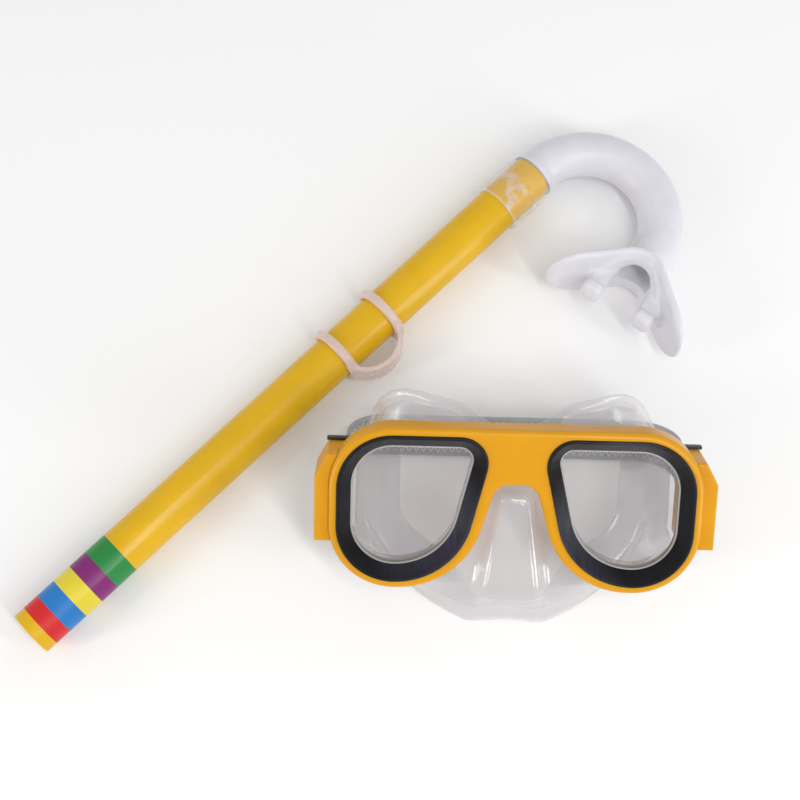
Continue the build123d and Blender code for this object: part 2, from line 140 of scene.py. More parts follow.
class SnorkelStrapSettings(bpy.types.PropertyGroup):
    """Sizes of the head strap."""

    width: length("Width", "Width of the strap", 19.0, 10.0, 30.0)
    thickness: length("Thickness", "Thickness of the strap's plain border", 1.6, 0.8, 3.0)
    border: length("Border", "Width of the plain border beside the mesh", 2.2, 1.0, 4.0)
    rib_pitch: length("Rib pitch", "Distance between two ribs of the mesh", 3.1, 1.5, 8.0)
    rib_radius: length("Rib radius", "Half the width of a rib of the mesh", 0.33, 0.1, 1.0)


class SnorkelTubeSettings(bpy.types.PropertyGroup):
    """Sizes and finishes of the snorkel."""

    tube_colour: colour("Tube", "Colour of the tube", COLOURS["tube_yellow"])
    mouth_colour: colour("Mouthpiece", "Tint of the frosted mouthpiece", COLOURS["mouthpiece_frosted"])
    keeper_colour: colour("Keeper", "Tint of the strap keeper", COLOURS["keeper_clear"])
    mouth_step: length("Mouthpiece fineness", "Spacing of the mouthpiece's surface points", 0.55, 0.4, 2.0)
    keeper_step: length("Keeper fineness", "Spacing of the keeper's surface points", 0.4, 0.3, 2.0)


class SnorkelStageSettings(bpy.types.PropertyGroup):
    """Camera, floor and lights."""

    distance: bpy.props.FloatProperty(name="Distance", description="From the camera to the floor's middle",
                                      default=0.6695, unit="LENGTH")
    elevation: bpy.props.FloatProperty(name="Elevation", description="Height of the camera over the floor",
                                       default=radians(73.0), subtype="ANGLE")
    roll: bpy.props.FloatProperty(name="Roll", description="Turn of the camera about its own axis",
                                  default=radians(1.5), subtype="ANGLE")
    floor_colour: colour("Floor", "Colour of the floor", (0.9, 0.9, 0.9))
    sky: bpy.props.FloatProperty(name="Sky", description="Strength of the light from all round",
                                 default=0.66, min=0.0)
    key_power: bpy.props.FloatProperty(name="Key light", description="Power of the main light",
                                       default=3.6, min=0.0, unit="POWER")


# ---------------------------------------------------------------- materials
class Number:
    """A number that varies over a surface: a shader socket with ordinary arithmetic."""

    def __init__(self, paint, socket):
        self.paint = paint
        self.socket = socket

    def __add__(self, other):
        return self.paint.maths("ADD", self, other)

    def __radd__(self, other):
        return self.paint.maths("ADD", other, self)

    def __sub__(self, other):
        return self.paint.maths("SUBTRACT", self, other)

    def __rsub__(self, other):
        return self.paint.maths("SUBTRACT", other, self)

    def __mul__(self, other):
        return self.paint.maths("MULTIPLY", self, other)

    def __rmul__(self, other):
        return self.paint.maths("MULTIPLY", other, self)

    def __pow__(self, other):
        return self.paint.maths("POWER", self, other)


class Paint:
    """A procedural material: its nodes, and the shader that they feed."""

    def __init__(self, name, **constants):
        self.material = bpy.data.materials.new(name)
        self.material.use_nodes = True
        self.nodes = self.material.node_tree.nodes
        self.links = self.material.node_tree.links
        self.nodes.clear()
        self.shader = self.node("ShaderNodeBsdfPrincipled", inputs=constants)
        self.output = self.node("ShaderNodeOutputMaterial", inputs={"Surface": self.shader.outputs["BSDF"]})
        self.gloss = None
        coordinates = self.node("ShaderNodeTexCoord")
        self.place = coordinates.outputs["Object"]

    def node(self, kind, settings=None, inputs=None):
        """A node of a kind, with its settings and then the values or links of its sockets."""
        made = self.nodes.new(kind)
        for name, value in (settings or {}).items():
            if name == "stops":
                self.set_stops(made.color_ramp, value)
            else:
                setattr(made, name, value)
        for name, value in (inputs or {}).items():
            self.join(made.inputs[name], value)
        return made

    @staticmethod
    def set_stops(ramp, stops):
        """Give a ramp its stops: a position and a grey or a colour each."""
        while len(ramp.elements) < len(stops):
            ramp.elements.new(0.5)
        for element, (position, value) in zip(ramp.elements, stops):
            element.position = position
            element.color = (*value, 1) if isinstance(value, tuple) else (value, value, value, 1)

    def join(self, socket, value):
        """Link a socket or a number, or set a constant."""
        if isinstance(value, Number):
            value = value.socket
        if isinstance(value, bpy.types.NodeSocket):
            self.links.new(value, socket)
        elif isinstance(value, tuple) and len(value) == 3 and socket.type == "RGBA":
            socket.default_value = (*value, 1)
        else:
            socket.default_value = value

    def maths(self, operation, *values):
        made = self.node("ShaderNodeMath", {"operation": operation}, dict(enumerate(values)))
        return Number(self, made.outputs[0])

    def noise(self, scale, detail=3.0, roughness=0.5, place=None, stretch=None):
        """Cloudy noise from 0 to 1; the scale is in features per metre."""
        place = place or self.place
        if stretch:
            place = self.node("ShaderNodeMapping", inputs={"Vector": place, "Scale": stretch}).outputs[0]
        made = self.node("ShaderNodeTexNoise", inputs={"Vector": place, "Scale": scale, "Detail": detail,
                                                       "Roughness": roughness})
        return Number(self, made.outputs["Fac"])

    def ramp(self, number, *stops):
        """A number put through a ramp of grey stops."""
        made = self.node("ShaderNodeValToRGB", {"stops": stops}, {"Fac": number})
        return Number(self, made.outputs["Color"])

    def mix(self, amount, first, second):
        """A colour between two, by an amount from 0 to 1."""
        made = self.node("ShaderNodeMix", {"data_type": "RGBA"}, {"Factor": amount})
        self.join(made.inputs[6], first)
        self.join(made.inputs[7], second)
        return made.outputs[2]

    def edge(self, blend):
        """How far a clear surface is seen edge on, from 0 to 1."""
        made = self.node("ShaderNodeLayerWeight", inputs={"Blend": blend})
        return Number(self, made.outputs["Facing"])

    def distance_along(self, direction, start):
        """Distance in millimetres along a direction of the row frame, from a place in the row frame."""
        away = self.node("ShaderNodeVectorMath", {"operation": "SUBTRACT"},
                         {0: self.place, 1: tuple(start)}).outputs[0]
        dot = self.node("ShaderNodeVectorMath", {"operation": "DOT_PRODUCT"}, {0: away, 1: tuple(direction)})
        return Number(self, dot.outputs["Value"]) * (1 / MM)

    def set(self, **inputs):
        """Feed what varies over the surface to the shader."""
        for name, value in inputs.items():
            self.join(self.shader.inputs[name.replace("_", " ").title()], value)

    def gloss_over(self, roughness, face_on, edge_on):
        """Lay a mirror-like surface over the shader, for clear pieces whose highlights stay bright."""
        self.gloss = self.node("ShaderNodeBsdfPrincipled", inputs={
            "Base Color": (1.0, 1.0, 1.0), "Metallic": 1.0, "Roughness": roughness})
        mixed = self.node("ShaderNodeMixShader", inputs={0: self.edge(0.5) ** 4 * edge_on + face_on,
                                                         1: self.shader.outputs["BSDF"],
                                                         2: self.gloss.outputs["BSDF"]})
        self.join(self.output.inputs["Surface"], mixed.outputs["Shader"])

    def bump(self, height, strength, depth):
        """Feed a height, with its full depth in metres, to the shader's normal."""
        made = self.node("ShaderNodeBump", inputs={"Height": height, "Strength": strength,
                                                   "Distance": depth})
        for shader in filter(None, (self.shader, self.gloss)):
            self.join(shader.inputs["Normal"], made.outputs["Normal"])


EDGE_SHINE = 8                             # how much more a clear piece shines where it is seen edge on


def shade(rgb, factor):
    """A colour made lighter or darker."""
    return tuple(min(1.0, channel * factor) for channel in tuple(rgb)[:3])


def moulded_plastic(name, rgb, gloss, relief=0.00002, wear=0.12):
    """Glossy moulded plastic: slight mottling, faint flow marks, scuffs and a fine skin texture."""
    paint = Paint(name, **{"Specular IOR Level": 0.25, "Coat Roughness": 0.12, "Coat Weight": 0.08})
    clouds = paint.noise(55.0, 3.0)
    flow = paint.noise(30.0, 4.0, 0.6, stretch=(1.0, 5.0, 5.0))
    scuffs = paint.ramp(paint.noise(420.0, 6.0, 0.72), (0.56, 0.0), (0.78, 1.0))
    tone = paint.ramp(clouds * 0.6 + flow * 0.4, (0.3, 0.0), (0.72, 1.0))
    paint.set(base_color=paint.mix(tone, shade(rgb, 0.93), shade(rgb, 1.06)))
    paint.set(roughness=gloss + flow * 0.06 + scuffs * wear)
    paint.bump(paint.noise(900.0, 2.0) * 0.7 + scuffs * 0.3, 0.35, relief)
    return paint.material


def clear_vinyl(name, rgb, clearness, gloss=0.12, edge_share=0.62, haze=0.1, shine=0.0):
    """Clear soft vinyl: faint haze and flow marks, denser where it is seen edge on."""
    paint = Paint(name, **{"Specular IOR Level": 0.5, "Coat Weight": 0.2, "Coat Roughness": 0.05})
    if shine:
        paint.gloss_over(gloss, shine, shine * EDGE_SHINE)
    flow = paint.noise(45.0, 4.0, 0.55)
    specks = paint.ramp(paint.noise(700.0, 5.0, 0.7), (0.62, 0.0), (0.8, 1.0))
    paint.set(base_color=paint.mix(flow, shade(rgb, 0.94), shade(rgb, 1.05)))
    edge = paint.edge(0.35) ** 2
    paint.set(alpha=(1 - clearness) + edge * edge_share + flow * haze * 0.5 + specks * haze)
    paint.set(roughness=gloss + flow * 0.1 + specks * 0.15)
    paint.bump(paint.noise(70.0, 2.0) + specks * 0.03, 0.12, 0.0003)
    return paint.material


# ---------------------------------------------------------------- meshes
def finished(name, points, faces, material, body, replaced=()):
    """A smooth-shaded piece that rides on a body; its points are in the row frame, in metres."""
    mesh = bpy.data.meshes.new(name)
    mesh.from_pydata(np.asarray(points).tolist(), [], [list(face) for face in faces])
    mesh.validate()
    mesh.shade_smooth()
    mesh.materials.append(material)
    piece = bpy.data.objects.new(name, mesh)
    bpy.context.scene.collection.objects.link(piece)
    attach(piece, body)
    if replaced:
        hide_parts(*replaced)
    return piece


def paint_nodes(material, *nodes):
    """Give carried-over nodes a material."""
    for node in nodes:
        mesh = frame["nodes"][node].data
        if not mesh.materials:
            mesh.materials.append(material)
        for index in range(len(mesh.materials)):
            mesh.materials[index] = material


def soft_min(first, second, width):
    """The lesser of two distances, blended over a width: two shapes joined with a fillet."""
    mixed = np.clip(0.5 + 0.5 * (second - first) / width, 0, 1)
    return second + (first - second) * mixed - width * mixed * (1 - mixed)


def soft_max(first, second, width):
    """The greater of two distances, blended over a width: one shape cut by another, edges rounded."""
    return -soft_min(-first, -second, width)


def rounded_box(distances, halves, radius):
    """Distance outside a box with rounded edges, in two or three directions."""
    outside = [abs(d) - (half - radius) for d, half in zip(distances, halves)]
    beyond = np.sqrt(sum(np.maximum(d, 0) ** 2 for d in outside))
    deepest = outside[0]
    for d in outside[1:]:
        deepest = np.maximum(deepest, d)
    return beyond + np.minimum(deepest, 0) - radius


def rounded_outline(corners, arc_points=8):
    """Points round a closed outline whose corners, of x, y and radius, are rounded by tangent arcs."""
    points = []
    for index, (x, y, radius) in enumerate(corners):
        here = np.array((x, y))
        ways = []
        for other in (corners[index - 1], corners[(index + 1) % len(corners)]):
            way = np.array(other[:2]) - here
            ways.append(way / np.linalg.norm(way))
        half = np.arccos(np.clip(ways[0] @ ways[1], -1, 1)) / 2
        middle = ways[0] + ways[1]
        centre = here + middle / np.linalg.norm(middle) * radius / np.sin(half)
        reach = radius / np.tan(half)
        start = here + ways[0] * reach - centre
        end = here + ways[1] * reach - centre
        for part in np.linspace(0, 1, arc_points):
            way = start * (1 - part) + end * part
            points.append(centre + way / np.linalg.norm(way) * radius)
    return np.array(points)


NO_LENGTH = 1e-9                           # a side of an outline whose squared length is less is passed over


def outline_distance(outline, x, y):
    """Distance from a closed outline, negative inside it."""
    nearest = np.full(np.broadcast(x, y).shape, np.inf)
    inside = np.zeros(nearest.shape, bool)
    for (x0, y0), (x1, y1) in zip(outline, np.roll(outline, -1, axis=0)):
        run = (x1 - x0) ** 2 + (y1 - y0) ** 2
        if run < NO_LENGTH:
            continue
        part = np.clip(((x - x0) * (x1 - x0) + (y - y0) * (y1 - y0)) / run, 0, 1)
        nearest = np.minimum(nearest, (x - x0 - part * (x1 - x0)) ** 2 + (y - y0 - part * (y1 - y0)) ** 2)
        if y0 != y1:
            inside ^= ((y0 > y) != (y1 > y)) & (x < x0 + (y - y0) * (x1 - x0) / (y1 - y0))
    return np.where(inside, -1, 1) * np.sqrt(nearest)


def both_sides(corners):
    """The corners of an outline that is the same on both sides, from those of its right half."""
    return tuple(corners) + tuple((-x, y, radius) for x, y, radius in reversed(corners))


def net(field, low, high, step):
    """The closed surface round where a field of distances is negative, as points and quads.

    Each cell that the surface crosses gets one point, the mean of where it crosses the cell's edges.
    """
    low = np.array(low, float)
    counts = [int((h - l) / step) + 2 for l, h in zip(low, high)]
    grid = np.meshgrid(*[l + step * np.arange(n) for l, n in zip(low, counts)], indexing="ij", sparse=True)
    value = np.broadcast_to(field(*grid), counts)
    cells = np.array(counts) - 1
    hits = np.zeros(cells.prod())
    total = np.zeros((cells.prod(), 3))
    quads = []
    for axis in range(3):
        near = value[tuple(slice(None, -1) if k == axis else slice(None) for k in range(3))]
        far = value[tuple(slice(1, None) if k == axis else slice(None) for k in range(3))]
        cut = (near < 0) != (far < 0)
        edges = np.argwhere(cut)
        places = edges.astype(float)
        places[:, axis] += near[cut] / (near[cut] - far[cut])
        around = []
        for second, third in ((1, 1), (0, 1), (0, 0), (1, 0)):
            cell = edges.copy()
            cell[:, (axis + 1) % 3] -= second
            cell[:, (axis + 2) % 3] -= third
            flat = np.ravel_multi_index(cell.T, cells)
            hits += np.bincount(flat, minlength=len(hits))
            for k in range(3):
                total[:, k] += np.bincount(flat, places[:, k], len(hits))
            around.append(flat)
        around = np.array(around).T
        quads.append(np.where((near[cut] < 0)[:, None], around, around[:, ::-1]))
    used = np.flatnonzero(hits)
    index = np.full(len(hits), -1)
    index[used] = np.arange(len(used))
    points = low + step * total[used] / hits[used][:, None]
    return points, index[np.concatenate(quads)]


SMOOTH_IN = 0.5                            # how far a pass takes a point to the mean of its neighbours
SMOOTH_OUT = -0.52                         # and how far it then goes back, so that the shape doesn't shrink
SMOOTH_PASSES = 3


def relaxed(points, quads, passes):
    """Points evened out without shrinking the shape."""
    pairs = np.concatenate([quads[:, [k, (k + 1) % 4]] for k in range(4)])
    pairs = np.concatenate([pairs, pairs[:, ::-1]])
    count = np.bincount(pairs[:, 0], minlength=len(points))[:, None]
    for strength in (SMOOTH_IN, SMOOTH_OUT) * passes:
        mean = np.stack([np.bincount(pairs[:, 0], points[pairs[:, 1], k], len(points)) for k in range(3)], 1)
        points = points + strength * (mean / count - points)
    return points


def moulding(name, field, low, high, step, directions, material, body, slot, replaced):
    """A soft moulded piece made as the surface of a field of distances, in a group's own directions."""
    points, quads = net(field, low, high, step)
    points = relaxed(points, quads, SMOOTH_PASSES)
    return finished(name, directions.to_row(points), quads, material, body, replaced)


# ---------------------------------------------------------------- mask
# An outline's corners are each u, v and the radius that rounds it. Those of the skirt are its right half's.
LENS_CORNERS = ((8.4, 30.3, 11.0), (70.3, 30.3, 22.0), (70.3, -30.3, 23.0), (22.7, -30.3, 31.0))
SKIRT_FRONT = ((7.0, 28.0, 9.0), (24.0, 31.0, 14.0), (64.5, 31.0, 20.0), (64.5, -27.0, 24.0),
               (34.0, -33.5, 12.0), (12.0, -35.5, 5.0))
SKIRT_REAR = ((7.0, 21.0, 9.0), (18.0, 45.5, 14.0), (54.0, 45.5, 26.0), (61.0, -25.0, 28.0),
              (35.0, -66.0, 20.0), (20.0, -93.0, 16.0))
FACE_HOLE = ((6.0, 12.0, 6.0), (17.0, 26.0, 9.0), (46.0, 26.0, 10.0), (46.0, -19.0, 14.0),
             (26.0, -30.0, 10.0), (14.0, -49.0, 8.0))
NOSE_BASE = ((11.0, 9.5, 5.0), (21.0, -47.0, 9.0))
NOSE_TIP = ((6.2, 6.0, 3.0), (11.5, -38.0, 5.0))
SKIRT_ROOM = ((-68, -66, -60), (68, 50, 2))   # the box that the skirt is meshed in
SKIRT_FLANGE = -11.0                       # w where the skirt starts behind the frame
SKIRT_BACK = -60.0
SKIRT_WALL = 2.2
FLANGE_ROUND = 1.5
EDGE_ROUND = 0.8                           # how softly the edges on the face are rounded
CUT_ROUND = 0.5
LIP_THICK = 1.7
LIP_FILLET = 3.0
NOSE_FRONT = -2.5
NOSE_ROOT = -19.0
NOSE_ROUND = 4.0
NOSE_FILLET = 5.0
SIGHT_INSET = 6.2                          # from a lens's outline to the opening behind it
SIGHT_BACK = -20.0
HEAD_RADIUS = 80.0
HEAD_GAP = 27.0                            # from the frame's front to the face
HEAD_LEAN = radians(3.0)
BEAD = 1.25                                # radius of the bead round the opening for the face
BEAD_INSET = 0.6
RIM_BEAD = 1.375                           # radius of the bead round the lip's rim
PAST_START = -0.1                          # how far past its two outlines a loft is worked out
PAST_END = 1.2


def between(value, start, end):
    """How far a value lies from a start to an end, a little past both allowed."""
    return np.clip((value - start) / (end - start), PAST_START, PAST_END)


def lofted(first, second, reach, x, y):
    """Distance from a loft in each of its slices: its corners pass from those of one outline to another's."""
    slices = []
    for part in reach.ravel():
        corners = np.array(first) * (1 - part) + np.array(second) * part
        outline = rounded_outline(both_sides(corners))
        slices.append(outline_distance(outline, x[:, :, 0], y[:, :, 0]))
    return np.stack(slices, 2)


def skirt_field(u, v, w):
    """Distance from the skirt: a flared wall, the nose pocket and the lip that seals on the face."""
    body = lofted(SKIRT_FRONT, SKIRT_REAR, between(w, SKIRT_FLANGE, SKIRT_BACK), u, v)
    body = soft_max(body, w - SKIRT_FLANGE, FLANGE_ROUND)
    nose = lofted(NOSE_TIP, NOSE_BASE, between(w, NOSE_FRONT, NOSE_ROOT), u, v)
    nose = soft_max(nose, w - NOSE_FRONT, NOSE_ROUND)
    outside = soft_min(body, nose, NOSE_FILLET)
    shell = soft_max(outside, -(outside + SKIRT_WALL), CUT_ROUND)

    back = v * sin(HEAD_LEAN) - (w + HEAD_GAP) * cos(HEAD_LEAN)
    face = np.hypot(u, back - HEAD_RADIUS) - HEAD_RADIUS
    hole = outline_distance(rounded_outline(both_sides(FACE_HOLE)), u, v)
    shell = soft_max(shell, -face, EDGE_ROUND)
    lip = soft_max(outside, abs(face - LIP_THICK / 2) - LIP_THICK / 2, EDGE_ROUND)
    lip = soft_max(lip, -hole, EDGE_ROUND)
    skirt = soft_min(shell, lip, LIP_FILLET)
    bead = np.hypot(hole - BEAD_INSET, face - BEAD) - BEAD
    rim = np.hypot(outside + BEAD, face - BEAD) - RIM_BEAD
    skirt = soft_min(skirt, soft_min(bead, rim, CUT_ROUND), EDGE_ROUND)

    lens = outline_distance(rounded_outline(LENS_CORNERS), abs(u), v)
    sight = np.maximum(lens + SIGHT_INSET, SIGHT_BACK - w)
    return soft_max(skirt, -sight, CUT_ROUND)


class SNORKEL_OT_front(bpy.types.Operator):
    """Finish the front frame and the buckle housings"""

    bl_idname = "snorkel.front"
    bl_label = "Front Frame"

    def execute(self, context):
        settings = context.scene.snorkel_mask
        yellow = moulded_plastic("Frame Yellow", settings.frame_colour, gloss=0.26)
        paint_nodes(yellow, "front_frame", "left_buckle_housing", "right_buckle_housing")
        return {"FINISHED"}


class SNORKEL_OT_bezels(bpy.types.Operator):
    """Finish the black rings that hold the lenses, with a faint sheen painted into their colour over brushed lines
    """

    bl_idname = "snorkel.bezels"
    bl_label = "Bezels"

    def execute(self, context):
        rgb = context.scene.snorkel_mask.bezel_colour
        paint = Paint("Bezel Black", **{"Specular IOR Level": 0.22})
        lines = paint.noise(90.0, 4.0, 0.6, stretch=(12.0, 1.0, 1.0))
        # Painted sheen: lighter, faintly coloured patches along the brushed lines, painted into the base colour as
        # a stand-in for reflected light.
        sheen = paint.ramp(paint.noise(17.0, 1.0), (0.52, 0.0), (0.72, 1.0)) * lines
        painted_sheen_tints = paint.mix(paint.noise(40.0, 1.0), (0.11, 0.075, 0.14), (0.075, 0.12, 0.14))
        paint.set(base_color=paint.mix(sheen, rgb[:], painted_sheen_tints))
        paint.set(roughness=0.24 + lines * 0.16)
        paint.bump(lines, 0.12, 0.00002)
        paint_nodes(paint.material, "left_bezel", "right_bezel")
        return {"FINISHED"}


class SNORKEL_OT_lenses(bpy.types.Operator):
    """Finish the clear lenses and the pale gaskets that seat them"""

    bl_idname = "snorkel.lenses"
    bl_label = "Lenses"

    def execute(self, context):
        clearness = context.scene.snorkel_mask.lens_clearness
        paint = Paint("Lens", **{"Base Color": (0.2, 0.16, 0.18, 1), "Specular IOR Level": 0.6})
        smear = paint.noise(35.0, 5.0, 0.6)
        paint.set(alpha=(1 - clearness) + paint.edge(0.3) ** 2 * 0.3 + smear * 0.02)
        paint.set(roughness=0.02 + smear * 0.05)
        paint_nodes(paint.material, "left_lens", "right_lens")
        gasket = clear_vinyl("Gasket", shade(COLOURS["gasket_white"], 0.7), clearness=0.5, gloss=0.3)
        paint_nodes(gasket, "left_lens_gasket", "right_lens_gasket")
        return {"FINISHED"}


class SNORKEL_OT_skirt(bpy.types.Operator):
    """Make the clear skirt with its nose pocket and sealing lip"""

    bl_idname = "snorkel.skirt"
    bl_label = "Skirt"

    def execute(self, context):
        settings = context.scene.snorkel_mask
        rgb = shade(settings.skirt_colour, 0.8)
        vinyl = clear_vinyl("Skirt Vinyl", rgb, settings.skirt_clearness, gloss=0.1, edge_share=0.3,
                            haze=0.06, shine=0.045)
        moulding("mask_skirt", skirt_field, *SKIRT_ROOM, settings.skirt_step, MASK, vinyl, "mask",
                 "skirt_clear", ["skirt"])
        return {"FINISHED"}


class SNORKEL_OT_buckles(bpy.types.Operator):
    """Finish the black buckles, their steel pins and the rollers that turn on them"""

    bl_idname = "snorkel.buckles"
    bl_label = "Buckles"

    def execute(self, context):
        black = moulded_plastic("Buckle Black", COLOURS["buckle_black"], gloss=0.4, relief=0.00004, wear=0.2)
        steel = Paint("Pin Steel", **{"Metallic": 1.0})
        lines = steel.noise(90.0, 4.0, 0.6, stretch=(1.0, 12.0, 12.0))
        steel.set(base_color=steel.mix(lines, (0.5, 0.5, 0.5), (0.68, 0.68, 0.67)))
        steel.set(roughness=0.25 + lines * 0.2)
        for word, _ in SIDES:
            paint_nodes(black, f"{word}_buckle", f"{word}_strap_roller")
            paint_nodes(steel.material, f"{word}_roller_pin")
        return {"FINISHED"}


# ---------------------------------------------------------------- head strap
STRAP_REAR = 49.933                        # from the rollers to the strap's rear run
STRAP_CORNERS = {-1: (67.0, 16.0), 1: (73.5, 18.0)}   # u and radius of each rear corner
SPAN_LENGTH = 22.0
TAIL_LENGTH = 24.0
LOOP_GAP = 0.3
ROLLER_RADIUS = 2.4
PANEL_SHARE = 0.6                          # the mesh panel's thickness, as a share of the border's
BORDER_EDGE = ((0.0, 0.45), (0.35, 0.88), (0.9, 1.0))   # inset and share of the thickness round its edge
BORDER_SLOPE = 0.5                         # from the border's full thickness to the panel
TAIL_ROUND = 5.0
LINE_GAP = 1.0                             # spacing of the points along the strap
TAIL_GAP = 0.8
TURN_POINTS = 17                           # points of the turn round a roller
CORNER_POINTS = 14
SHARP = 0.01                               # radius of a corner that stays sharp
RIB_LEAN = 1.25                            # how far a rib runs along the strap, as a share of its half width
RIB_OVERLAP = 0.3                          # how far the ribs' ends run into the border
RIB_POINTS = 12
RIB_SIDES = 5


def loop_radius(settings):
    """Radius of the strap's middle line where it goes round a roller."""
    return ROLLER_RADIUS + LOOP_GAP + settings.thickness / 2


def span_points(side, settings):
    """The strap's middle line from a roller to its rear band: both ends."""
    start = ROLLER_U - loop_radius(settings)
    end = start + (STRAP_CORNERS[side][0] - start) * SPAN_LENGTH / STRAP_REAR
    return np.array([(side * start, 0.0), (side * end, SPAN_LENGTH)])


def spaced(points, gap):
    """Points set evenly along an open line."""
    points = np.array(points, float)
    runs = np.linalg.norm(np.diff(points, axis=0), axis=1)
    reach = np.concatenate([[0], np.cumsum(runs)])
    marks = np.linspace(0, reach[-1], max(2, int(reach[-1] / gap) + 1))
    return np.stack([np.interp(marks, reach, points[:, k]) for k in range(2)], 1)


def rear_line(settings):
    """The strap's middle line from one span to the other, round the back of the head."""
    left, right = [span_points(side, settings)[1] for _, side in SIDES]
    corners = [(side * STRAP_CORNERS[side][0], STRAP_REAR, STRAP_CORNERS[side][1]) for _, side in SIDES]
    closed = ((*left, SHARP), *corners, (*right, SHARP))
    arcs = rounded_outline(closed, CORNER_POINTS)[CORNER_POINTS:3 * CORNER_POINTS]
    return spaced([left, *arcs, right], LINE_GAP)


def strap_section(settings):
    """A cross-section of the strap: a thick rounded border each side of a thinner panel."""
    thick = settings.thickness / 2
    edge = settings.width / 2
    inner = edge - settings.border
    quarter = [(edge - inset, thick * depth) for inset, depth in BORDER_EDGE]
    quarter += [(inner + BORDER_SLOPE, thick), (inner, thick * PANEL_SHARE)]
    top = quarter + [(-across, depth) for across, depth in reversed(quarter)]
    return np.array(top + [(across, -depth) for across, depth in reversed(top)])


def strap_band(line, settings, widths=None):
    """A strap swept along a line in the strap's own x and y: points and faces, its ends closed.

    Its widths along the line, where they are given, are shares of the whole width.
    """
    ways = np.gradient(line, axis=0)
    ways /= np.linalg.norm(ways, axis=1)[:, None]
    normals = np.stack([ways[:, 1], -ways[:, 0]], 1)
    section = strap_section(settings)
    if widths is None:
        widths = np.ones(len(line))
    points = [(*(place + normal * depth), across * width)
              for place, normal, width in zip(line, normals, widths)
              for across, depth in section]
    count = len(section)
    faces = []
    for ring in range(len(line) - 1):
        for k in range(count):
            first, second = ring * count + k, ring * count + (k + 1) % count
            faces.append((first, second, second + count, first + count))
    last = (len(line) - 1) * count
    faces.append(tuple(range(count))[::-1])
    faces.append(tuple(range(last, last + count)))
    return np.array(points), faces


